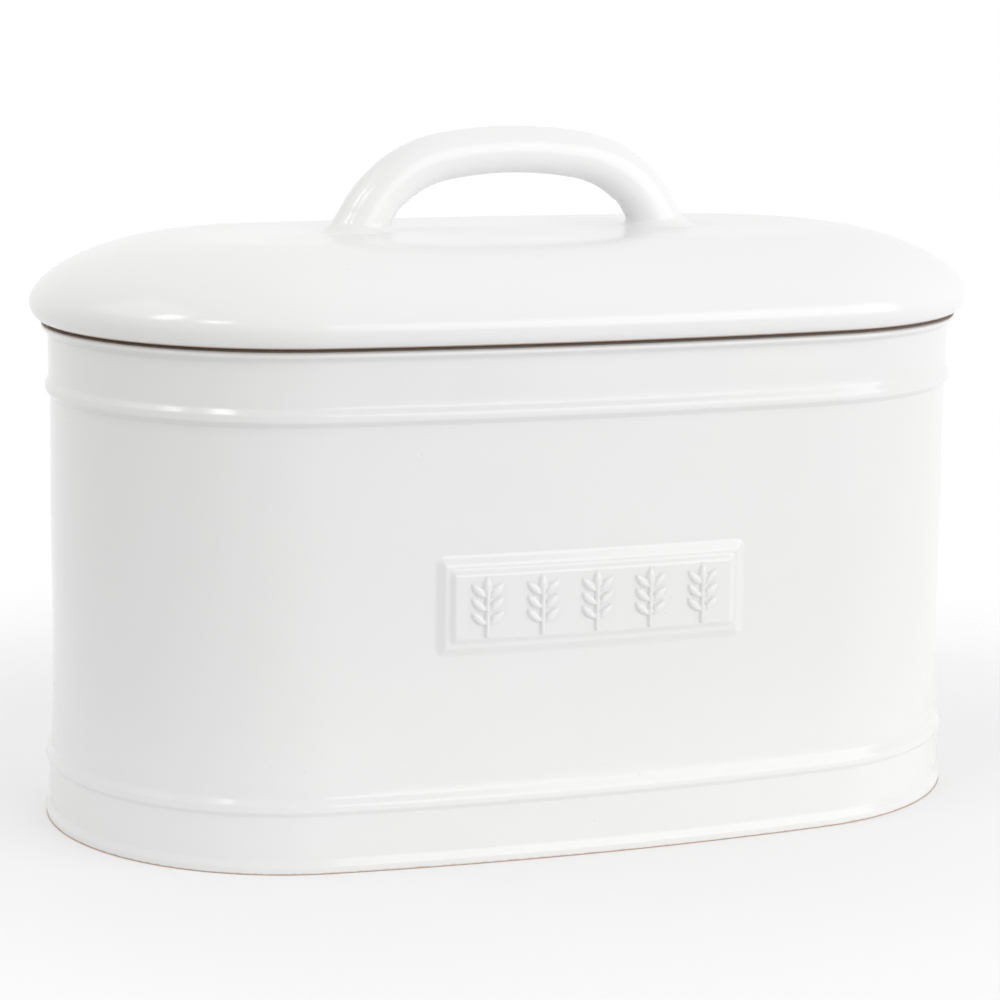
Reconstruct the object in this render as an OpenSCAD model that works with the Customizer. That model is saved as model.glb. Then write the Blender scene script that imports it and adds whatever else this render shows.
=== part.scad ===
// Oval stoneware bread crock with a lift-off domed lid.
// Frame: millimetres, origin under the middle of the foot, +Z up, +X along the length,
// and the front, with its raised plaque, towards -Y.
//
// Plan: one oval of four arcs, the "wall line". Every profile is drawn as an outward
// offset from that line against height, and swept once round it.

/* [Plan] */
// Length of the wall line
wall_length = 340; // [330:1:350]
// Angle that each long side turns through, which sets how far the sides bow out
side_turn = 12.5; // [11:0.5:14]
// Radius of the two rounded ends of the wall line
end_r = 86.4; // [84:0.2:88]

/* [Crock] */
// Height of the rim above the table
rim_z = 180; // [176:1:190]
// Thickness of the wall
wall_t = 6.5; // [5:0.5:7]
// Thickness of the floor
floor_t = 8; // [6:0.5:10]
// Height of the bare foot ring
foot_h = 2.5; // [2:0.5:3]
// How far the foot stands out from the wall line
foot_out = 3.6; // [3:0.1:4]
// How far the base band stands out from the wall line
band_out = 2; // [1.5:0.1:2.5]
// Height of the crest of the lower bead
low_bead_z = 22.5; // [20:0.5:24]
// How far the lower bead stands out from the base band
low_bead_out = 0.8; // [0.4:0.1:1.2]
// Height of the crest of the upper bead
high_bead_z = 157; // [153:0.5:159]
// How far the upper bead swells out
high_bead_out = 1.3; // [0.8:0.1:2]
// How far the lip rolls out from the wall line
lip_out = 2.3; // [1.5:0.1:3]

/* [Lid] */
// Gap between the rim and the lid that rests on it
seat_gap = 0.6; // [0.4:0.1:1]
// How far the lid's edge stands out from the wall line
lid_out = 6.3; // [5:0.1:7]
// Height of the widest part of the lid's edge above its seat
edge_h = 5.9; // [5:0.1:7]
// Height of the flat of the lid above the widest part of its edge
dome_h = 24.2; // [20:0.2:28]
// Width of the sloping part of the lid, from its edge to the flat
dome_w = 54; // [50:1:56]
// Thickness of the lid
lid_t = 6.2; // [5:0.2:7]
// Thickness of the ring under the lid that locates it in the rim
flange_t = 5; // [4:0.5:6]
// How far the locating ring reaches down past the seat
flange_h = 7.6; // [5:0.2:10]
// Side clearance between the locating ring and the wall
flange_clear = 2; // [1:0.25:3]

/* [Handle] */
// Height of the middle of the handle's crown above the flat of the lid
crown_h = 28.8; // [26:0.2:34]
// Radius of the crown, on the handle's centre line
crown_r = 150; // [140:5:170]
// Radius of each shoulder, on the handle's centre line
shoulder_r = 42; // [38:1:44]
// Steepest slope of the handle's legs
leg_slope = 58; // [56:1:60]
// Radius of the handle's section at the crown
grip_r = 8.5; // [7.5:0.1:9]
// How much thicker the legs are than the crown, in radius
leg_swell = 1; // [0.5:0.1:1.5]
// How far each leg flares out where it meets the lid
leg_flare = 5; // [3:0.5:6]

/* [Plaque] */
// Length of the plaque
plaque_w = 114; // [110:1:120]
// Height of the plaque
plaque_h = 34.8; // [32:0.2:36]
// Height of the middle of the plaque above the table
plaque_z = 91; // [89:0.5:92]
// Radius of the plaque's corners
plaque_corner = 3; // [2:0.5:4]
// Thickness of the plaque's lower tier
tier_1_t = 1.6; // [1.2:0.1:2]
// Thickness of the upper tier on top of it
tier_2_t = 1.2; // [1:0.1:1.6]
// Width of the border between the two tiers' edges
tier_step = 4.4; // [4:0.1:5]
// Height of one wheat ear, its stalk included
ear_h = 22; // [20:0.5:23]
// Thickness of the wheat relief on the upper tier
ear_t = 1.4; // [1:0.1:1.8]

/* [Hidden] */
// Number of wheat ears in a row
ear_count = 5;
$fn = 96;
// Facets of a full turn at the long sides' large radius
side_fn = 720;

// Arcs of the wall line: the ends' centres lie on X, the sides' centres on Y
half_length = wall_length / 2;
end_x = half_length - end_r;
side_y = end_x / tan(side_turn / 2);
side_r = end_r + end_x / sin(side_turn / 2);
half_depth = side_r - side_y;

// Crock: heights, and offsets from the wall line
floor_z = foot_h + floor_t;
cove_r = 10;
sweep_in = -wall_t - cove_r - 1.5;
base_top_z = low_bead_z - 6;
low_bead_top_z = low_bead_z + 9.5;
low_wall_off = 0.5;
panel_low_z = 64;
panel_high_z = 114;
high_wall_off = -0.4;
bead_half = 6;
neck_z = rim_z - 5;
lip_r = 2.3;
land_in = 1.5;

// Lid: heights, widths, and offsets from the wall line
seat_z = rim_z + seat_gap;
edge_z = seat_z + edge_h;
edge_w = 5.1;
lid_top_z = edge_z + dome_h;
flat_w = 6;
flange_out = -wall_t - flange_clear;
flange_in = flange_out - flange_t;
flange_rise = 9;
// Exponents of the dome's section: full near the edge, flattening towards the middle
dome_in_power = 1.7;
dome_up_power = 1 / 1.75;

// Handle: its centre line is a crown arc, a shoulder arc and a straight leg on each side
crown_slope = 10;
crown_x = crown_r * sin(crown_slope);
crown_drop = crown_r * (1 - cos(crown_slope));
leg_top_x = crown_x + shoulder_r * (sin(leg_slope) - sin(crown_slope));
leg_top_h = crown_h - crown_drop - shoulder_r * (cos(crown_slope) - cos(leg_slope));
leg_len = leg_top_h / sin(leg_slope);
crown_len = crown_r * crown_slope * PI / 180;
shoulder_len = shoulder_r * (leg_slope - crown_slope) * PI / 180;
half_len = crown_len + shoulder_len + leg_len;
flare_len = 8;
level_len = 16;
handle_sides = 24;
handle_rings = 20;

// Points along an arc about [x, z]: radius r, from angle a to angle b
function arc(x, z, r, a, b, n = 8) =
    [for (i = [0:n]) [x + r * cos(a + (b - a) * i / n), z + r * sin(a + (b - a) * i / n)]];

// Points up a smooth swell between heights z0 and z1, on a wall at offset `base`
function swell(z0, z1, base, out, n = 12) =
    [for (i = [0:n]) [base + out * sin(180 * i / n) ^ 2, z0 + (z1 - z0) * i / n]];

// Points up a smooth step between two offsets
function ease(z0, z1, off0, off1, n = 8) =
    [for (i = [0:n]) [off0 + (off1 - off0) * (1 - cos(180 * i / n)) / 2, z0 + (z1 - z0) * i / n]];

// Height of the lid's outer face at distance d in from its edge
function dome_z(d) =
    edge_z + dome_h * (1 - (1 - min(d, dome_w) / dome_w) ^ dome_in_power) ^ dome_up_power;

// Moves by whole millimetres, then thousandths, then the rest, so that a long move keeps its
// small digits and arcs of very different radius meet exactly
module long_move(v) {
    whole = [for (c = v) floor(c)];
    fine = [for (c = v - whole) floor(c * 1000) / 1000];
    translate(whole) translate(fine) translate(v - whole - fine) children();
}

// Turns a profile of [radius, height] about the centre of the front wall's arc
module along_the_front() {
    long_move([0, side_y, 0])
        rotate_extrude(angle = side_turn, start = -90 - side_turn / 2, $fn = side_fn) children();
}

// Sweeps a profile of [offset, height] once round the wall line
module round_the_oval() {
    for (turn = [0, 180]) rotate(turn) {
        translate([end_x, 0, 0])
            rotate_extrude(angle = 180 - side_turn, start = side_turn / 2 - 90)
                translate([end_r, 0]) children();
        along_the_front() long_move([side_r, 0]) children();
    }
}

// Flat slab that fills the oval inside `offset`, with its edge buried in the ring round it
module oval_core(offset, z0, z1) {
    reach = half_depth + offset + 1;
    translate([-end_x, -reach, z0]) cube([2 * end_x, 2 * reach, z1 - z0]);
    for (side = [-1, 1])
        translate([side * end_x, 0, z0]) cylinder(r = end_r + offset + 2, h = z1 - z0);
}

module crock_profile() {
    polygon(concat(
        // foot flare, base band and lower bead
        [[foot_out, foot_h]],
        ease(foot_h + 0.8, foot_h + 4, foot_out, band_out, 5),
        ease(base_top_z, low_bead_z - 1, band_out, band_out + low_bead_out, 4),
        ease(low_bead_z + 1, low_bead_top_z, band_out + low_bead_out, low_wall_off),
        // wall, upright behind the plaque and drawn in a little above it
        [[0, panel_low_z], [0, panel_high_z]],
        swell(high_bead_z - bead_half, high_bead_z + bead_half, high_wall_off, high_bead_out),
        // rolled lip and the bare land on top of the rim
        [[high_wall_off, neck_z]],
        arc(lip_out - lip_r, rim_z - lip_r, lip_r, -60, 90),
        [[-wall_t + land_in, rim_z], [-wall_t, rim_z - land_in]],
        // inside of the wall and the cove down to the floor
        arc(-wall_t - cove_r, floor_z + cove_r, cove_r, 0, -90),
        [[sweep_in, floor_z], [sweep_in, foot_h]]
    ));
}

module crock_shell() {
    color("#efece4") {
        round_the_oval() crock_profile();
        oval_core(sweep_in, foot_h, floor_z);
    }
}

module foot_ring() {
    inside = -12;
    edge_r = 1.5;
    color("#c9b29a") round_the_oval() polygon(concat(
        [[inside + 1, 0]],
        arc(foot_out - edge_r, edge_r, edge_r, -90, 0, 5),
        [[foot_out, foot_h], [inside, foot_h], [inside, 1]]
    ));
}

// Stands a flat outline upright and runs it through the front wall, for cutting curved shells
module on_the_front() {
    translate([0, -half_depth, plaque_z]) rotate([90, 0, 0])
        linear_extrude(height = 40, center = true) children();
}

// Rounded rectangle through the front wall, round the middle of the plaque
module upright_tablet(w, h, corner) {
    on_the_front() {
        square([w - 2 * corner, h], center = true);
        square([w, h - 2 * corner], center = true);
        for (x = [-1, 1], y = [-1, 1])
            translate([x * (w / 2 - corner), y * (h / 2 - corner)]) circle(r = corner);
    }
}

// Shell that hugs the front wall between two heights proud of it
module front_shell(low, high) {
    along_the_front() long_move([side_r, 0])
        translate([low, plaque_z - plaque_h]) square([high - low, 2 * plaque_h]);
}

module plaque() {
    color("#f4f2ea") {
        intersection() {
            front_shell(0, tier_1_t);
            upright_tablet(plaque_w, plaque_h, plaque_corner);
        }
        intersection() {
            front_shell(tier_1_t, tier_1_t + tier_2_t);
            upright_tablet(plaque_w - 2 * tier_step, plaque_h - 2 * tier_step, plaque_corner - 1);
        }
    }
}

// Pointed leaf of the given length along +Y, bounded by two equal arcs
module grain(length, width) {
    r = (length ^ 2 + width ^ 2) / (4 * width);
    intersection() {
        translate([r - width / 2, length / 2]) circle(r = r);
        translate([width / 2 - r, length / 2]) circle(r = r);
    }
}

// One ear: a stalk, pairs of grains that lean outwards, and a grain at the tip
module wheat_ear() {
    pairs = 3;
    lean = 46;
    grain_l = 0.36 * ear_h;
    grain_w = 0.16 * ear_h;
    stalk_w = 1.6;
    first_y = -0.31 * ear_h;
    pitch = 0.22 * ear_h;
    translate([-stalk_w / 2, -ear_h / 2]) square([stalk_w, 0.8 * ear_h]);
    for (i = [0:pairs - 1], side = [-1, 1])
        translate([side * 0.3, first_y + pitch * i]) rotate(-side * lean) grain(grain_l, grain_w);
    translate([0, ear_h / 2 - grain_l]) grain(grain_l, grain_w);
}

module wheat_relief() {
    ear_pitch = (plaque_w - 2 * tier_step - 6) / ear_count;
    field = tier_1_t + tier_2_t;
    color("#faf8f2") intersection() {
        front_shell(field, field + ear_t);
        on_the_front()
            for (i = [0:ear_count - 1])
                translate([(i - (ear_count - 1) / 2) * ear_pitch, 0]) wheat_ear();
    }
}

module lid_profile() {
    steps = 14;
    d_flat = dome_w + flat_w;
    d_hollow = lid_out - flange_in + 8;
    polygon(concat(
        // seat, rounded edge and dome, from outside in to the flat
        [for (i = [0:8]) [lid_out - edge_w + edge_w * sin(90 * i / 8), edge_z - edge_h * cos(90 * i / 8)]],
        [for (i = [1:steps]) let (d = dome_w * (i / steps) ^ 2) [lid_out - d, dome_z(d)]],
        [[lid_out - d_flat, lid_top_z], [lid_out - d_flat, lid_top_z - lid_t]],
        // hollow under the dome, back out to the locating ring
        [for (i = [0:6]) let (d = dome_w + (d_hollow - dome_w) * i / 6) [lid_out - d, dome_z(d) - lid_t]],
        [[flange_in, seat_z + flange_rise], [flange_in, seat_z]]
    ));
}

module lid_shell() {
    color("#f1eee7") {
        round_the_oval() lid_profile();
        oval_core(lid_out - dome_w - flat_w, lid_top_z - lid_t, lid_top_z);
    }
}

module lid_flange() {
    color("#cdb8a2") round_the_oval() polygon([
        [flange_in, seat_z], [flange_in, seat_z - flange_h + 1], [flange_in + 1, seat_z - flange_h],
        [flange_out - 1, seat_z - flange_h], [flange_out, seat_z - flange_h + 1], [flange_out, seat_z]
    ]);
}

// Slope of the handle's centre line at distance s along it from the crown
function slope_at(s) =
    s < crown_len ? crown_slope * s / crown_len
    : s < crown_len + shoulder_len
        ? crown_slope + (leg_slope - crown_slope) * (s - crown_len) / shoulder_len
        : leg_slope;

// Point [x, height over the flat] of the centre line at distance s from the crown
function arch_at(s) = let (a = slope_at(s))
    s < crown_len ? [crown_r * sin(a), crown_h - crown_r * (1 - cos(a))]
    : s < crown_len + shoulder_len
        ? [crown_x + shoulder_r * (sin(a) - sin(crown_slope)),
           crown_h - crown_drop - shoulder_r * (cos(crown_slope) - cos(a))]
        : let (run = s - crown_len - shoulder_len)
          [leg_top_x + run * cos(leg_slope), leg_top_h - run * sin(leg_slope)];

// Radius of the handle at distance s: a slight swell down the leg and a flare at its foot
function arch_r(s) = let (down = s / half_len, near = max(0, 1 - (half_len - s) / flare_len))
    grip_r + leg_swell * down ^ 2 + leg_flare * near ^ 2.5;

// One ring of points across the handle; the rings near the lid turn level with its flat
function arch_ring(s, side) = let (
        p = arch_at(s),
        r = arch_r(s),
        level = max(0, 1 - (half_len - s) / level_len),
        tilt = slope_at(s) + (90 - slope_at(s)) * level,
        stretch = 1 / cos(tilt - slope_at(s)))
    [for (k = [0:handle_sides - 1]) let (a = 360 * k / handle_sides, u = r * cos(a) * stretch)
        [side * (p.x + u * sin(tilt)), r * sin(a), lid_top_z + p.y + u * cos(tilt)]];

module lid_handle() {
    last = 2 * handle_rings;
    rings = [for (i = [0:last])
        let (t = (i - handle_rings) / handle_rings, s = half_len * abs(t))
            arch_ring(s, t < 0 ? -1 : 1)];
    points = [for (ring = rings, p = ring) p];
    color("#f3f1ea") polyhedron(points, concat(
        [for (i = [0:last - 1], k = [0:handle_sides - 1]) let (n = (k + 1) % handle_sides)
            [i * handle_sides + k, i * handle_sides + n,
             (i + 1) * handle_sides + n, (i + 1) * handle_sides + k]],
        [[for (k = [handle_sides - 1:-1:0]) k]],
        [[for (k = [0:handle_sides - 1]) last * handle_sides + k]]
    ), convexity = 4);
}

crock_shell();
foot_ring();
plaque();
wheat_relief();
lid_shell();
lid_flange();
lid_handle();
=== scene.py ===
"""Oval stoneware bread crock with a lift-off domed lid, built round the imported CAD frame.

The crock, the lid and their clay rings are swept outlines. An outline is a list of corners
(offset, height, radius): offset is how far a point stands out from the wall line, which is one oval
of four arcs, and radius rounds the corner off. Shapes are worked out in millimetres and stored in
metres, in the frame of the CAD part: origin under the middle of the foot, +Z up, +X along the
length, the plaque facing -Y. The studio's places are in metres.
"""

import math

import bmesh
import bpy
import numpy as np
from mathutils import Matrix, Vector, noise


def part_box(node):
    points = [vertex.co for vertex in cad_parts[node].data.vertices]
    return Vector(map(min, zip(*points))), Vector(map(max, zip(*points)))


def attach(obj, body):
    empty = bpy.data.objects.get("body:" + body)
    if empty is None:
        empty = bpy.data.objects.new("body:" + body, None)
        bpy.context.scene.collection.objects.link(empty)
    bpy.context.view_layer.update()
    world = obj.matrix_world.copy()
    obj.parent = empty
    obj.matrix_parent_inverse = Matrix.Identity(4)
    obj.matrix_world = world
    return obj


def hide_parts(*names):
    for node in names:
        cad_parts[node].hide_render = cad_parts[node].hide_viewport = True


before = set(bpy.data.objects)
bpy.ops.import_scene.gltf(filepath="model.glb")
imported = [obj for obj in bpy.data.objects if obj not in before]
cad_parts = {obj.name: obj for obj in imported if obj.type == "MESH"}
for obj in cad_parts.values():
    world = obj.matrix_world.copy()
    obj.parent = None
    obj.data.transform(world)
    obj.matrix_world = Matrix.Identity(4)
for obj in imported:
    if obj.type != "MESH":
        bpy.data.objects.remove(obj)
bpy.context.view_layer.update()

MM = 0.001

# ---------------------------------------------------------------- driving sizes, in millimetres

foot_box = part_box("foot_ring")
lid_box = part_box("lid_shell")
plaque_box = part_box("plaque")
ear_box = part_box("wheat_relief")
handle_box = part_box("lid_handle")

FOOT_OUT = 3.6                                   # how far the foot stands out from the wall line
FOOT_H = foot_box[1].z / MM                      # height of the bare foot ring
HALF_LENGTH = foot_box[1].x / MM - FOOT_OUT      # half the wall line's length
END_R = 86.4                                     # radius of the wall line's round ends
SIDE_TURN = math.radians(12.5)                   # angle that each long side turns through
END_X = HALF_LENGTH - END_R
SIDE_R = END_R + END_X / math.sin(SIDE_TURN / 2)
SIDE_Y = END_X / math.tan(SIDE_TURN / 2)

WALL_T = 6.5                                     # thickness of the crock's wall
FLOOR_Z = 10.5                                   # height of the crock's floor, inside
RIM_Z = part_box("crock_shell")[1].z / MM
LAND_Z = RIM_Z + 0.35                            # the glazed rim's top, just short of the lid's seat
SEAT_Z = lid_box[0].z / MM
LID_TOP_Z = lid_box[1].z / MM
LID_OUT = lid_box[1].x / MM - HALF_LENGTH
LID_T = 6.2                                      # thickness of the lid's dome
EDGE_H = 6.5                                     # height of the lid's widest line above its seat
EDGE_W = 5.1                                     # half axes of the curl under the widest line,
EDGE_DROP = 6.4                                  # across and down,
EDGE_CURL = math.radians(72)                     # and the angle that the curl turns through
DOME_W = 54.0                                    # width of the lid's slope, from edge to flat,
DOME_IN_POWER = 1.7                              # and the powers of its curve, inwards
DOME_UP_POWER = 1 / 1.75                         # and upwards
FLANGE_OUT = -8.5                                # outer face of the locating ring under the lid
FLANGE_IN = -13.5                                # and its inner face
FLANGE_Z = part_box("lid_flange")[0].z / MM

STATIONS = 480                                   # points round the oval
UNEVEN = 0.35                                    # depth of the hollows in the crock's glazed wall
LID_UNEVEN = 0.3                                 # and in the lid
CLAY_UNEVEN = 0.2                                # and in the bare rings of clay


# ---------------------------------------------------------------- outlines and meshes

def rounded(corners, step=2.5, arc_step=math.radians(9)):
    """Points along an outline of (offset, height, radius) corners, with its corners rounded off."""
    points = []

    def line_to(q):
        if points:
            p = points[-1]
            pieces = max(1, math.ceil(math.dist(p, q) / step))
            for i in range(1, pieces):
                points.append((p[0] + (q[0] - p[0]) * i / pieces, p[1] + (q[1] - p[1]) * i / pieces))
        points.append(q)

    for i, (x, z, r) in enumerate(corners):
        here = Vector((x, z))
        if r == 0 or i in (0, len(corners) - 1):
            line_to((x, z))
            continue
        back = Vector(corners[i - 1][:2]) - here
        ahead = Vector(corners[i + 1][:2]) - here
        half = back.angle(ahead) / 2
        trim = min(r / math.tan(half), 0.49 * back.length, 0.49 * ahead.length)
        r = trim * math.tan(half)
        centre = here + (back.normalized() + ahead.normalized()).normalized() * (r / math.sin(half))
        start = here + back.normalized() * trim - centre
        turn = math.pi - 2 * half
        sign = 1 if start.x * ahead.y - start.y * ahead.x > 0 else -1
        count = max(2, math.ceil(turn / arc_step))
        for k in range(count + 1):
            a = sign * turn * k / count
            q = (centre.x + start.x * math.cos(a) - start.y * math.sin(a),
                 centre.y + start.x * math.sin(a) + start.y * math.cos(a))
            if k == 0:
                line_to(q)
            else:
                points.append(q)
    return points


def oval_stations():
    """Points and outward normals, evenly spaced round the wall line, in millimetres."""
    end_turn = math.pi / 2 - SIDE_TURN / 2
    end_len = END_R * end_turn
    side_len = SIDE_R * SIDE_TURN / 2
    quarter = end_len + side_len
    stations = []
    for i in range(STATIONS):
        s = 4 * quarter * i / STATIONS
        quadrant, s = divmod(s, quarter)
        if quadrant % 2:
            s = quarter - s
        if s < end_len:
            a = s / END_R
            x, y = END_X + END_R * math.cos(a), END_R * math.sin(a)
        else:
            a = end_turn + (s - end_len) / SIDE_R
            x, y = SIDE_R * math.cos(a), SIDE_R * math.sin(a) - SIDE_Y
        sx = -1 if quadrant in (1, 2) else 1
        sy = -1 if quadrant in (2, 3) else 1
        stations.append((sx * x, sy * y, sx * math.cos(a), sy * math.sin(a)))
    return np.array(stations)


def unevenness(points):
    """Slow hollows of a fired clay surface, 0 to -1, the same for every piece."""
    return np.array([-0.5 + 0.5 * noise.noise(Vector(p) * 11.0) for p in points])


def make_object(name, verts, faces):
    mesh = bpy.data.meshes.new(name)
    mesh.from_pydata([tuple(v) for v in verts], [], faces)
    bm = bmesh.new()
    bm.from_mesh(mesh)
    bmesh.ops.remove_doubles(bm, verts=bm.verts, dist=1e-6)
    bmesh.ops.recalc_face_normals(bm, faces=bm.faces)
    for f in bm.faces:
        f.smooth = True
    bm.to_mesh(mesh)
    bm.free()
    obj = bpy.data.objects.new(name, mesh)
    bpy.context.scene.collection.objects.link(obj)
    return obj


def grid_faces(rings, count, closed=True):
    """Quads between rings of `count` points each; closed joins each ring's ends."""
    last = count if closed else count - 1
    return [(r * count + i, r * count + (i + 1) % count,
             (r + 1) * count + (i + 1) % count, (r + 1) * count + i)
            for r in range(rings - 1) for i in range(last)]


def sweep(name, outline, uneven, caps=None):
    """Sweeps an outline round the wall line, with hollows of depth uneven. caps are the numbers of
    steps in to the middle line from the outline's first and last points, where the solid is closed
    over. Without caps the outline closes on itself."""
    s = oval_stations()
    rings = [np.column_stack([s[:, 0] + s[:, 2] * x, s[:, 1] + s[:, 3] * x, np.full(STATIONS, z)])
             for x, z in outline]
    depths = [uneven] * len(rings)
    if caps:                                     # the hollows fade out towards the middle line
        rings = cap_rings(rings[0], caps[0])[::-1] + rings + cap_rings(rings[-1], caps[1])
        depths = ([uneven * k / caps[0] for k in range(caps[0])] + depths
                  + [uneven * (1 - k / caps[1]) for k in range(1, caps[1] + 1)])
    points = np.concatenate(rings) * MM
    normals = np.tile(np.column_stack([s[:, 2:4], np.zeros(STATIONS)]), (len(rings), 1))
    points += normals * (np.repeat(depths, STATIONS) * MM * unevenness(points))[:, None]
    faces = grid_faces(len(rings), STATIONS)
    if not caps:
        last = (len(rings) - 1) * STATIONS
        for i in range(STATIONS):
            after = (i + 1) % STATIONS
            faces.append((last + i, last + after, after, i))
    return make_object(name, points, faces)


def cap_rings(ring, steps):
    """Rings from the edge of a flat oval in to the line between its two end centres."""
    middle = ring.copy()
    middle[:, 0] = np.clip(ring[:, 0], -END_X, END_X)
    middle[:, 1] = 0
    return [ring + (middle - ring) * k / steps for k in range(1, steps + 1)]


def point_values(obj, name, function):
    """Stores function(x, y, z) of every vertex, in millimetres, as a named value for the material."""
    mesh = obj.data
    places = np.empty(len(mesh.vertices) * 3)
    mesh.vertices.foreach_get("co", places)
    x, y, z = places.reshape(-1, 3).T / MM
    attribute = mesh.attributes.new(name, "FLOAT", "POINT")
    attribute.data.foreach_set("value", np.asarray(function(x, y, z), np.float32))


def ramp(value, low, high):
    """0 below low, 1 above high, smooth between. low may be the larger of the two."""
    t = np.clip((value - low) / (high - low), 0, 1)
    return t * t * (3 - 2 * t)


def bevel(value, low, high, bend=0.22):
    """0 below low, 1 above high, straight between two short bends."""
    t = np.clip((value - low) / (high - low), 0, 1)
    near = np.minimum(t, 1 - t)
    half = np.where(near < bend, near * near / (2 * bend), near - bend / 2) / (1 - bend)
    return np.where(t < 0.5, half, 1 - half)


def wall_offset(x, y):
    """How far each point stands out from the wall line, in millimetres."""
    ax, ay = np.abs(x), np.abs(y)
    side = ax * (SIDE_Y / END_X) < ay + SIDE_Y
    end_off = np.hypot(ax - END_X, ay) - END_R
    side_off = np.hypot(ax, ay + SIDE_Y) - SIDE_R
    return np.where(side & (ax < END_X + END_R * math.sin(SIDE_TURN / 2)), side_off, end_off)


# ---------------------------------------------------------------- the crock

FOOT_IN_GLAZE = 3.0                              # where the clay ring ends inside the glaze on the foot
CROCK_OUTLINE = [
    # underside of the floor and of the foot, which the glaze covers almost to the table
    (-20, FOOT_H, 0), (FOOT_IN_GLAZE, FOOT_H, 0.3), (FOOT_IN_GLAZE, 0.12, 0.1), (3.45, 0.12, 0.35),
    # foot flare and base band
    (3.45, 2.6, 0.8), (2.05, 5.0, 1.8), (2.0, 20.2, 0.9),
    # lower bead: short below its crest, a long slope above
    (3.05, 21.8, 1.2), (2.85, 23.9, 2.2), (1.25, 26.45, 3), (0.75, 31, 7),
    # wall, upright behind the plaque, drawn in above it
    (0.25, 48, 60), (0, 64, 60), (0, 114, 60), (-0.4, 153.9, 0.9),
    # upper bead
    (1.45, 155.9, 1.2), (1.4, 158.2, 1.6), (0.1, 160.5, 2.5),
    # neck, small flared lip, land on top of the rim
    (0.05, 176.2, 1.4), (2.2, 177.9, 0.8), (2.4, LAND_Z, 0.6), (-WALL_T, LAND_Z, 1.6),
    # inside of the wall, cove and floor
    (-WALL_T, FLOOR_Z, 10), (-20, FLOOR_Z, 0),
]


def crock_bare(x, y, z):
    """1 where the crock's clay is bare: the land on the rim, the foot's edge and the underside."""
    off = wall_offset(x, y)
    land = ramp(z, LAND_Z - 0.3, LAND_Z - 0.05) * ramp(off, 0.6, 0)
    foot_edge = ramp(z, 0.5, 0.15)
    underside = (z < FOOT_H + 0.05) * ramp(off, FOOT_IN_GLAZE - 0.1, FOOT_IN_GLAZE - 0.4)
    return land + np.maximum(foot_edge, underside)


def build_crock():
    crock = sweep("crock", rounded(CROCK_OUTLINE), UNEVEN, caps=(10, 10))
    point_values(crock, "bare", crock_bare)
    return crock


def build_foot_ring():
    inner, outer = -12, FOOT_IN_GLAZE - 0.02
    top = FOOT_H - 0.02
    outline = rounded([(inner, 1.2, 0), (inner, 0, 1.0), (outer, 0, 0.8),
                       (outer, top, 0.2), (inner, top, 0.3)])
    return sweep("foot_ring_clay", outline, CLAY_UNEVEN)


# ---------------------------------------------------------------- the lid

def dome_z(d):
    """Height of the lid's outer face at distance d in from its edge, in millimetres."""
    inward = 1 - np.minimum(d, DOME_W) / DOME_W
    edge_z = SEAT_Z + EDGE_H
    return edge_z + (LID_TOP_Z - edge_z) * (1 - inward ** DOME_IN_POWER) ** DOME_UP_POWER


def lid_bare(x, y, z):
    """1 where the lid's clay is bare, which is all along its seat."""
    return ramp(z, SEAT_Z + 0.8, SEAT_Z + 0.55) * ramp(wall_offset(x, y), 3.4, 3.2)


def lid_outline():
    """The lid from the flat on top, out over the edge, in along the seat and up into the hollow."""
    dome_steps, edge_steps, hollow_steps = 60, 16, 16
    outline = [(LID_OUT - DOME_W - 4, LID_TOP_Z)]
    for i in range(dome_steps, 0, -1):
        d = DOME_W * (i / dome_steps) ** 2
        outline.append((LID_OUT - d, float(dome_z(d))))
    for i in range(edge_steps + 1):
        a = EDGE_CURL * i / edge_steps
        outline.append((LID_OUT - EDGE_W * (1 - math.cos(a)), SEAT_Z + EDGE_H - EDGE_DROP * math.sin(a)))
    # the curl runs out into the seat
    outline += [(2.3, SEAT_Z + 0.2), (1.4, SEAT_Z + 0.08), (0.2, SEAT_Z + 0.02)]
    outline += [(x, SEAT_Z) for x in (-2.0, -4.0, -6.0, FLANGE_OUT)]
    # the hollow's side, up to where its roof takes up the dome's curve
    corner_d = LID_OUT - FLANGE_IN + 9
    roof_d = corner_d + 3
    outline += rounded([(FLANGE_IN, SEAT_Z, 0), (FLANGE_IN, SEAT_Z + 10, 5),
                        (LID_OUT - corner_d, float(dome_z(corner_d)) - LID_T, 4),
                        (LID_OUT - roof_d, float(dome_z(roof_d)) - LID_T, 0)])
    for i in range(1, hollow_steps + 1):
        d = roof_d + (DOME_W - roof_d) * i / hollow_steps
        outline.append((LID_OUT - d, float(dome_z(d)) - LID_T))
    return outline


def build_lid():
    lid = sweep("lid", lid_outline(), LID_UNEVEN, caps=(14, 14))
    point_values(lid, "bare", lid_bare)
    return lid


def build_lid_flange():
    top = SEAT_Z - 0.1
    outline = rounded([(FLANGE_IN, top, 0), (FLANGE_IN, FLANGE_Z, 1.2),
                       (FLANGE_OUT, FLANGE_Z, 1.2), (FLANGE_OUT, top, 0)])
    return sweep("lid_flange_clay", outline, CLAY_UNEVEN)


# ---------------------------------------------------------------- the handle

GRIP_R = 8.5                                     # radius of the handle at its crown
CROWN_H = handle_box[1].z / MM - GRIP_R - LID_TOP_Z    # the crown's middle, over the lid's flat
CROWN_R = 150.0                                  # radii of the centre line over the crown
SHOULDER_R = 42.0                                # and round the shoulders
CROWN_SLOPE = math.radians(10)                   # slope where the crown meets the shoulder
LEG_SLOPE = math.radians(58)
LEG_SWELL = 1.0                                  # how much thicker the handle is where it meets the lid
FILLET_R = 4.2                                   # concave fillet where the legs meet the lid
LEVEL_AT = 9.0                                   # rings lie level from this far up the leg,
LEVEL_OVER = 14.0                                # after turning over this length
RING_POINTS = 72                                 # points round the handle


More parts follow.
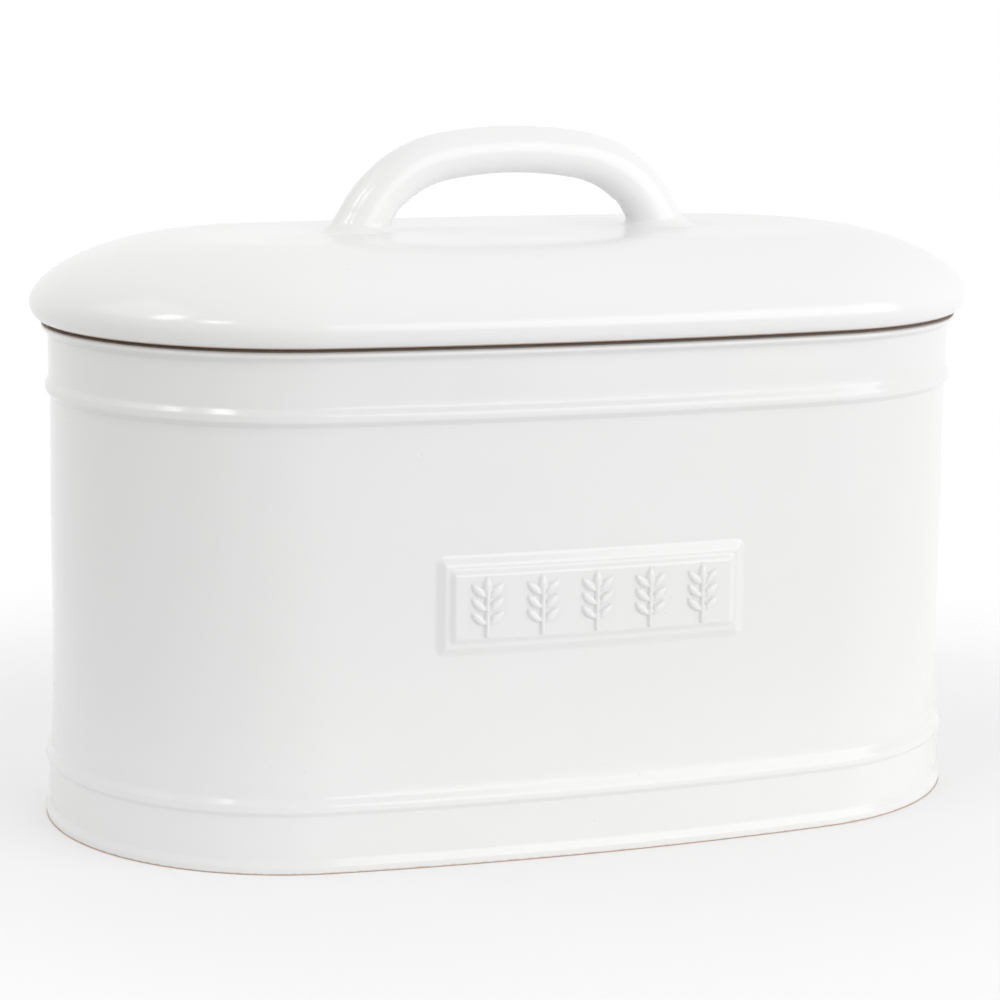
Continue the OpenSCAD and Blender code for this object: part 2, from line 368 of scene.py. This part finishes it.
def arch_point(s):
    """Point (x, height over the lid's flat) and slope of the handle's centre line, s from the crown."""
    crown_len = CROWN_R * CROWN_SLOPE
    shoulder_len = SHOULDER_R * (LEG_SLOPE - CROWN_SLOPE)
    if s < crown_len:
        a = s / CROWN_R
        return CROWN_R * math.sin(a), CROWN_H - CROWN_R * (1 - math.cos(a)), a
    a = min(LEG_SLOPE, CROWN_SLOPE + (s - crown_len) / SHOULDER_R)
    x = CROWN_R * math.sin(CROWN_SLOPE) + SHOULDER_R * (math.sin(a) - math.sin(CROWN_SLOPE))
    h = (CROWN_H - CROWN_R * (1 - math.cos(CROWN_SLOPE))
         - SHOULDER_R * (math.cos(CROWN_SLOPE) - math.cos(a)))
    run = max(0.0, s - crown_len - shoulder_len)
    return x + run * math.cos(LEG_SLOPE), h - run * math.sin(LEG_SLOPE), a


def handle_half_length():
    """Length of the centre line from the crown down to the lid's flat."""
    s = CROWN_R * CROWN_SLOPE + SHOULDER_R * (LEG_SLOPE - CROWN_SLOPE)
    return s + arch_point(s)[1] / math.sin(LEG_SLOPE)


def handle_ring(s, half, side):
    """One ring round the handle. Rings near the lid lie level and spread into the fillet."""
    x, h, slope = arch_point(s)
    level = float(ramp(half - s, LEVEL_AT + LEVEL_OVER, LEVEL_AT))
    tilt = slope + (math.pi / 2 - slope) * level
    r = GRIP_R + LEG_SWELL * (s / half) ** 2
    low = max(0.0, 1 - h / FILLET_R)
    spread = FILLET_R * (1 - math.sqrt(max(0.0, 1 - low * low)))
    sunk = 0.05 * low ** 4                       # the fillet's toe dips just under the lid's surface
    ring = []
    for k in range(RING_POINTS):
        a = 2 * math.pi * k / RING_POINTS
        u = math.cos(a) * (r / math.cos(tilt - slope) + spread)
        ring.append((side * (x + u * math.sin(tilt)), math.sin(a) * (r + spread),
                     LID_TOP_Z + h + u * math.cos(tilt) - sunk))
    return ring


def build_handle():
    steps = 90
    half = handle_half_length()
    places = [half * math.sin(math.pi / 2 * i / steps) for i in range(steps + 1)]
    rings = ([handle_ring(s, half, -1) for s in reversed(places[1:])]
             + [handle_ring(s, half, 1) for s in places])
    verts = np.concatenate([np.array(r) for r in rings]) * MM
    faces = grid_faces(len(rings), RING_POINTS)
    for first in (0, (len(rings) - 1) * RING_POINTS):
        centre = verts[first:first + RING_POINTS].mean(0)
        verts = np.vstack([verts, centre])
        hub = len(verts) - 1
        faces += [(first + i, first + (i + 1) % RING_POINTS, hub) for i in range(RING_POINTS)]
    return make_object("handle", verts, faces)


# ---------------------------------------------------------------- the plaque and its relief

PLAQUE_Z = (plaque_box[0].z + plaque_box[1].z) / 2 / MM
PLAQUE_W = (plaque_box[1].x - plaque_box[0].x) / MM
PLAQUE_H = (plaque_box[1].z - plaque_box[0].z) / MM
PLAQUE_CORNER = 3.0                              # radius of the corners of the plaque
FIELD_CORNER = 2.0                               # and of its raised field
TIER_1_T = 1.6                                   # how far the plaque stands proud of the wall
TIER_2_T = 1.2                                   # and its field of the plaque
TIER_STEP = 4.4                                  # width of the step round the field
EAR_COUNT = 5
EAR_H = (ear_box[1].z - ear_box[0].z) / MM
EAR_T = 1.4                                      # how far an ear stands proud of the field
EAR_PITCH = (PLAQUE_W - 2 * TIER_STEP - 6) / EAR_COUNT
RELIEF_STEP = 0.4                                # spacing of the relief's grid


def tablet_depth(u, v, w, h, corner):
    """Distance in from the edge of a rounded rectangle; negative outside it."""
    qx = np.abs(u) - w / 2 + corner
    qy = np.abs(v) - h / 2 + corner
    outside = np.hypot(np.maximum(qx, 0), np.maximum(qy, 0)) + np.minimum(np.maximum(qx, qy), 0)
    return corner - outside


def plaque_height(u, v):
    """How far the plaque's face stands proud of the wall, with soft, glazed-over bevels."""
    outer = tablet_depth(u, v, PLAQUE_W, PLAQUE_H, PLAQUE_CORNER)
    inner = tablet_depth(u, v, PLAQUE_W - 2 * TIER_STEP, PLAQUE_H - 2 * TIER_STEP, FIELD_CORNER)
    sunk = 0.2 * ramp(outer, -0.5, -1.1)         # the margin round the plaque lies under the wall's glaze
    return TIER_1_T * bevel(outer, -0.4, 3.5) + TIER_2_T * bevel(inner, -0.3, 2.2) - sunk


def grain_height(u, v, length, width):
    """A plump grain along +v from the origin: 1 on its ridge, 0 at its pointed outline."""
    r = (length ** 2 + width ** 2) / (4 * width)
    across = np.abs(u) + r - width / 2
    inside = 1 - (np.hypot(across, v - length / 2) - (r - width / 2)) / (width / 2)
    plump = 1 - (1 - np.clip(inside, 0, 1)) ** 2
    crease = 0.16 * np.exp(-(u / 0.4) ** 2) * ramp(v, 0.2 * length, 0.5 * length)
    return plump - crease * plump


def soft_max(a, b, k=0.25):
    """Larger of two heights, blended smoothly where they cross, as glaze fills a corner."""
    h = np.clip(0.5 + 0.5 * (a - b) / k, 0, 1)
    return b + (a - b) * h + k * h * (1 - h) * ramp(np.minimum(a, b), 0, k)


def ear_height(u, v):
    """One wheat ear: a stalk, pairs of grains that lean outwards, and a grain at the tip."""
    lean = math.radians(46)
    grain_l, grain_w = 0.36 * EAR_H, 0.16 * EAR_H
    lowest, pitch = -0.31, 0.22                  # heights of the pairs, in parts of the ear's
    stalk_w = 1.6
    stalk = np.sqrt(np.clip(1 - (u / (stalk_w / 2)) ** 2, 0, 1))
    height = 0.75 * stalk * ramp(v, -EAR_H / 2, -EAR_H / 2 + 0.6) * ramp(v, 0.3 * EAR_H, 0.25 * EAR_H)
    for i in range(3):
        for side in (-1, 1):
            du, dv = u - side * 0.3, v - (lowest + pitch * i) * EAR_H
            along = dv * math.cos(lean) + side * du * math.sin(lean)
            across = du * math.cos(lean) - side * dv * math.sin(lean)
            height = soft_max(height, grain_height(across, along, grain_l, grain_w))
    return soft_max(height, grain_height(u, v - EAR_H / 2 + grain_l, grain_l, grain_w))


def front_wall_points(u, v, proud):
    """Points proud of the front wall. u runs along its arc and v up it, from the plaque's middle."""
    a = u / SIDE_R

    def points(r):
        return np.stack([r * np.sin(a), SIDE_Y - r * np.cos(a), PLAQUE_Z + v], axis=-1) * MM

    wall = points(SIDE_R)
    return points(SIDE_R + proud + UNEVEN * unevenness(wall.reshape(-1, 3)).reshape(u.shape))


def relief_solid(middle, half_w, half_h, face_height, back_height):
    """Points and faces of a closed solid over a grid on the front wall. The grid is centred on
    middle along the wall's arc, and the solid lies between two heights proud of the wall."""
    us = np.arange(middle - half_w, middle + half_w + RELIEF_STEP / 2, RELIEF_STEP)
    vs = np.arange(-half_h, half_h + RELIEF_STEP / 2, RELIEF_STEP)
    u, v = np.meshgrid(us, vs)
    nu, nv = len(us), len(vs)
    face = front_wall_points(u, v, face_height(u, v)).reshape(-1, 3)
    back = front_wall_points(u, v, back_height(u, v)).reshape(-1, 3)
    total = nu * nv
    front_quads = grid_faces(nv, nu, closed=False)
    faces = front_quads + [tuple(total + i for i in reversed(q)) for q in front_quads]
    edge = (list(range(nu)) + [r * nu + nu - 1 for r in range(1, nv)]
            + [(nv - 1) * nu + i for i in range(nu - 2, -1, -1)] + [r * nu for r in range(nv - 2, 0, -1)])
    faces += [(a, b, total + b, total + a) for a, b in zip(edge, edge[1:] + edge[:1])]
    return np.vstack([face, back]), faces


def build_plaque():
    margin, back = 1.2, -0.8
    verts, faces = relief_solid(0, PLAQUE_W / 2 + margin, PLAQUE_H / 2 + margin,
                                plaque_height, lambda u, v: back)
    return make_object("plaque_tablet", verts, faces)


def build_wheat():
    """The ears, each on a thin tile of its own that lies just under the face of the plaque."""
    all_verts, all_faces, count = [], [], 0
    half_w, half_h = 9.0, EAR_H / 2 + 0.8
    sunk, back = 0.25, -0.6
    for i in range(EAR_COUNT):
        middle = (i - (EAR_COUNT - 1) / 2) * EAR_PITCH

        def face(u, v, middle=middle):
            ear = ear_height(u - middle, v)
            return plaque_height(u, v) + EAR_T * ear - sunk * ramp(ear, 0.12, 0.0)

        verts, faces = relief_solid(middle, half_w, half_h, face, lambda u, v: plaque_height(u, v) + back)
        all_verts.append(verts)
        all_faces += [tuple(count + k for k in f) for f in faces]
        count += len(verts)
    return make_object("wheat_ears", np.vstack(all_verts), all_faces)


# ---------------------------------------------------------------- materials

class Shader:
    """Short names for adding and joining a material's nodes."""

    def __init__(self, name):
        self.material = bpy.data.materials.new(name)
        self.material.use_nodes = True
        self.tree = self.material.node_tree
        self.bsdf = self.tree.nodes["Principled BSDF"]
        self.place = self.add("ShaderNodeTexCoord").outputs["Object"]

    def add(self, kind, **values):
        """A new node. Each value sets a property of it or, where it has none of that name, the
        socket whose name has spaces for the underscores."""
        node = self.tree.nodes.new(kind)
        for key, value in values.items():
            if hasattr(node, key):
                setattr(node, key, value)
            else:
                node.inputs[key.replace("_", " ")].default_value = value
        return node

    def join(self, a, b):
        self.tree.links.new(a, b)

    def noise(self, scale, detail=2.0):
        node = self.add("ShaderNodeTexNoise", Scale=scale, Detail=detail)
        self.join(self.place, node.inputs["Vector"])
        return node.outputs["Fac"]

    def cells(self, scale):
        """Distance from the nearest of many scattered points."""
        node = self.add("ShaderNodeTexVoronoi", Scale=scale)
        self.join(self.place, node.inputs["Vector"])
        return node.outputs["Distance"]

    def value(self, name):
        """The value that point_values stored under this name."""
        return self.add("ShaderNodeAttribute", attribute_name=name).outputs["Fac"]

    def fit(self, source, low, high, to_low=0.0, to_high=1.0):
        """Carries low to to_low and high to to_high, smooth between and level beyond."""
        node = self.add("ShaderNodeMapRange", interpolation_type="SMOOTHSTEP")
        self.join(source, node.inputs["Value"])
        for key, number in (("From Min", low), ("From Max", high), ("To Min", to_low), ("To Max", to_high)):
            node.inputs[key].default_value = number
        return node.outputs["Result"]

    def math(self, operation, a, b):
        node = self.add("ShaderNodeMath", operation=operation)
        for socket, item in zip(node.inputs, (a, b)):
            if isinstance(item, (int, float)):
                socket.default_value = item
            else:
                self.join(item, socket)
        return node.outputs[0]

    def mix(self, factor, a, b):
        """Colour a where factor is 0, colour b where it is 1."""
        node = self.add("ShaderNodeMix", data_type="RGBA")
        for socket, item in ((node.inputs[0], factor), (node.inputs[6], a), (node.inputs[7], b)):
            if isinstance(item, (int, float)):
                socket.default_value = item
            elif isinstance(item, tuple):
                socket.default_value = (*item, 1)
            else:
                self.join(item, socket)
        return node.outputs[2]

    def bump(self, height, distance, strength, under=None):
        node = self.add("ShaderNodeBump", Distance=distance, Strength=strength)
        self.join(height, node.inputs["Height"])
        if under is not None:
            self.join(under, node.inputs["Normal"])
        return node.outputs["Normal"]


def glaze(name, white, smooth=0.10, matt=0.17, bare=True):
    """Opaque glaze over buff clay. Its colour drifts between a white and a warmer one, and its
    roughness between smooth and matt. With bare, the clay shows where the stored "bare" is 1."""
    m = Shader(name)
    warm = tuple(white * k for k in (0.99, 0.99, 0.975))
    drift = m.fit(m.noise(7.0, 3.0), 0.35, 0.65)
    colour = m.mix(drift, (white, white, white), warm)
    pit = m.math("MULTIPLY", m.fit(m.cells(140.0), 0.10, 0.03), m.fit(m.noise(37.0, 0.0), 0.66, 0.70))
    colour = m.mix(m.math("MULTIPLY", pit, 0.06), colour, (0.45, 0.38, 0.30))
    rough = m.fit(m.noise(25.0, 4.0), 0.3, 0.7, smooth, matt)
    peel = m.bump(m.noise(230.0, 1.0), 0.00006, 0.5)
    waves = m.bump(m.noise(30.0, 1.0), 0.0004, 0.5, under=peel)
    normal = m.bump(pit, -0.0002, 0.4, under=waves)
    if bare:
        ragged = m.math("MULTIPLY", m.math("SUBTRACT", m.noise(420.0), 0.5), 0.5)
        edge = m.math("ADD", m.value("bare"), ragged)
        clay = m.fit(edge, 0.35, 0.65)
        colour = m.mix(clay, colour, (0.56, 0.40, 0.29))
        rough = m.math("ADD", rough, m.math("MULTIPLY", clay, 0.6))
    m.join(colour, m.bsdf.inputs["Base Color"])
    m.join(rough, m.bsdf.inputs["Roughness"])
    m.join(normal, m.bsdf.inputs["Normal"])
    m.bsdf.inputs["IOR"].default_value = 1.52
    return m.material


def bare_clay(name):
    """Bare fired stoneware: buff with a pink cast, fine grog and a dry surface."""
    m = Shader(name)
    colour = m.mix(m.fit(m.noise(60.0, 5.0), 0.35, 0.65), (0.60, 0.44, 0.33), (0.50, 0.35, 0.25))
    speck = m.fit(m.cells(900.0), 0.25, 0.1)
    colour = m.mix(m.math("MULTIPLY", speck, 0.35), colour, (0.33, 0.24, 0.18))
    m.join(colour, m.bsdf.inputs["Base Color"])
    m.join(m.fit(m.noise(300.0, 3.0), 0.3, 0.7, 0.72, 0.9), m.bsdf.inputs["Roughness"])
    m.join(m.bump(m.noise(1100.0, 4.0), 0.0002, 0.6), m.bsdf.inputs["Normal"])
    return m.material


# ---------------------------------------------------------------- studio

MIDDLE = (0, 0, 0.11)                            # the point that the lamps and the camera face
LAMP_DISTANCE = 1.8
SKY = 0.60                                       # brightness of the soft light all round
BACKDROP = 1.0                                   # brightness of the white backdrop behind the object
BACKDROP_AZIMUTH = 160.31                        # where the backdrop stands
FLOOR_R = (0.19, 0.44)                           # the floor fades into the backdrop between these


def direction(azimuth, elevation):
    """Unit vector away from the middle. Azimuth is in degrees from the front, positive towards +X,
    and elevation in degrees above level."""
    a, e = math.radians(azimuth), math.radians(elevation)
    return (math.sin(a) * math.cos(e), -math.cos(a) * math.cos(e), math.sin(e))


def area_light(name, azimuth, elevation, size, watts):
    data = bpy.data.lights.new(name, "AREA")
    data.shape = "RECTANGLE"
    data.size, data.size_y = size
    data.energy = watts
    lamp = bpy.data.objects.new(name, data)
    place = [m + d * LAMP_DISTANCE for m, d in zip(MIDDLE, direction(azimuth, elevation))]
    lamp.location = place
    lamp.rotation_euler = (Vector(MIDDLE) - Vector(place)).to_track_quat("-Z", "Y").to_euler()
    bpy.context.scene.collection.objects.link(lamp)


def build_floor():
    """A disc of pale paper that fades out towards its edge."""
    bpy.ops.mesh.primitive_circle_add(vertices=96, radius=FLOOR_R[1], fill_type="NGON")
    floor = bpy.context.object
    floor.name = "floor"
    m = Shader("floor_paper")
    m.join(m.mix(m.fit(m.noise(2.0), 0.3, 0.7), (0.95, 0.95, 0.95), (0.93, 0.93, 0.93)),
           m.bsdf.inputs["Base Color"])
    m.bsdf.inputs["Roughness"].default_value = 0.9
    reach = m.add("ShaderNodeVectorMath", operation="LENGTH")
    m.join(m.place, reach.inputs[0])
    m.join(m.fit(reach.outputs["Value"], FLOOR_R[1] * 0.98, FLOOR_R[0]), m.bsdf.inputs["Alpha"])
    floor.data.materials.append(m.material)


def build_sky():
    """Even soft light, brighter where the backdrop stands behind the object."""
    world = bpy.data.worlds.new("studio")
    world.use_nodes = True
    tree = world.node_tree
    toward = tree.nodes.new("ShaderNodeVectorMath")
    toward.operation = "DOT_PRODUCT"
    toward.inputs[1].default_value = direction(BACKDROP_AZIMUTH, 0)
    tree.links.new(tree.nodes.new("ShaderNodeTexCoord").outputs["Generated"], toward.inputs[0])
    level = tree.nodes.new("ShaderNodeMapRange")
    level.interpolation_type = "SMOOTHSTEP"
    for key, number in (("From Min", -0.3), ("From Max", 0.85), ("To Min", SKY), ("To Max", BACKDROP)):
        level.inputs[key].default_value = number
    tree.links.new(toward.outputs["Value"], level.inputs["Value"])
    tree.links.new(level.outputs["Result"], tree.nodes["Background"].inputs["Strength"])
    tree.nodes["Background"].inputs["Color"].default_value = (1, 1, 1, 1)
    bpy.context.scene.world = world


def build_studio():
    build_floor()
    build_sky()
    area_light("key", 34, 17, (2.2, 1.4), 18)
    area_light("left_fill", -100, 45, (1.2, 1.0), 3)
    area_light("left_far", -80, 42, (0.26, 0.4), 2.2)
    area_light("left_near", -54, 40, (0.28, 0.25), 1.6)
    bpy.context.scene.view_settings.view_transform = "Standard"


CAMERA_AZIMUTH = -19.69                          # the camera stands to the left of the front,
CAMERA_ELEVATION = 10.65                         # a little above the crock
CAMERA_DISTANCE = 1.1167
CAMERA_ROLL = math.radians(0.68)
CAMERA_LENS = 107.77                             # focal length on a 36 mm sensor, in millimetres
CAMERA_SHIFT = (-0.0070, -0.0023)                # frames the object as a part of the sensor's width


def build_camera():
    data = bpy.data.cameras.new("camera")
    data.sensor_width = 36
    data.lens = CAMERA_LENS
    data.shift_x, data.shift_y = CAMERA_SHIFT
    data.clip_start = 0.05
    camera = bpy.data.objects.new("camera", data)
    back = Vector(direction(CAMERA_AZIMUTH, CAMERA_ELEVATION))
    camera.location = Vector(MIDDLE) + back * CAMERA_DISTANCE
    turn = back.to_track_quat("Z", "Y")
    camera.rotation_euler = (turn.to_matrix().to_4x4() @ Matrix.Rotation(CAMERA_ROLL, 4, "Z")).to_euler()
    bpy.context.scene.collection.objects.link(camera)
    bpy.context.scene.camera = camera


# ---------------------------------------------------------------- assembly

def dress(piece, material, body, node):
    """Gives a piece its material and body, and hides the CAD node that it stands for."""
    piece.data.materials.append(material)
    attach(piece, body)
    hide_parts(node)


build_camera()
crock_glaze = glaze("crock_glaze", 0.80)
relief_glaze = glaze("relief_glaze", 0.80, bare=False)
# The lid and the handle wear the crock's one glaze, painted lighter (0.84 and 0.86 against 0.80): painted
# light, standing in for the extra light that falls on them.
lid_glaze = glaze("lid_glaze", 0.84, smooth=0.15, matt=0.24)
handle_glaze_painted_lighter = glaze("handle_glaze_painted_lighter", 0.86, smooth=0.16, matt=0.25, bare=False)
clay = bare_clay("bare_clay")

dress(build_crock(), crock_glaze, "crock", "crock_shell")
dress(build_foot_ring(), clay, "crock", "foot_ring")
dress(build_plaque(), relief_glaze, "crock", "plaque")
dress(build_wheat(), relief_glaze, "crock", "wheat_relief")
dress(build_lid(), lid_glaze, "lid", "lid_shell")
dress(build_lid_flange(), clay, "lid", "lid_flange")
dress(build_handle(), handle_glaze_painted_lighter, "lid", "lid_handle")
build_studio()
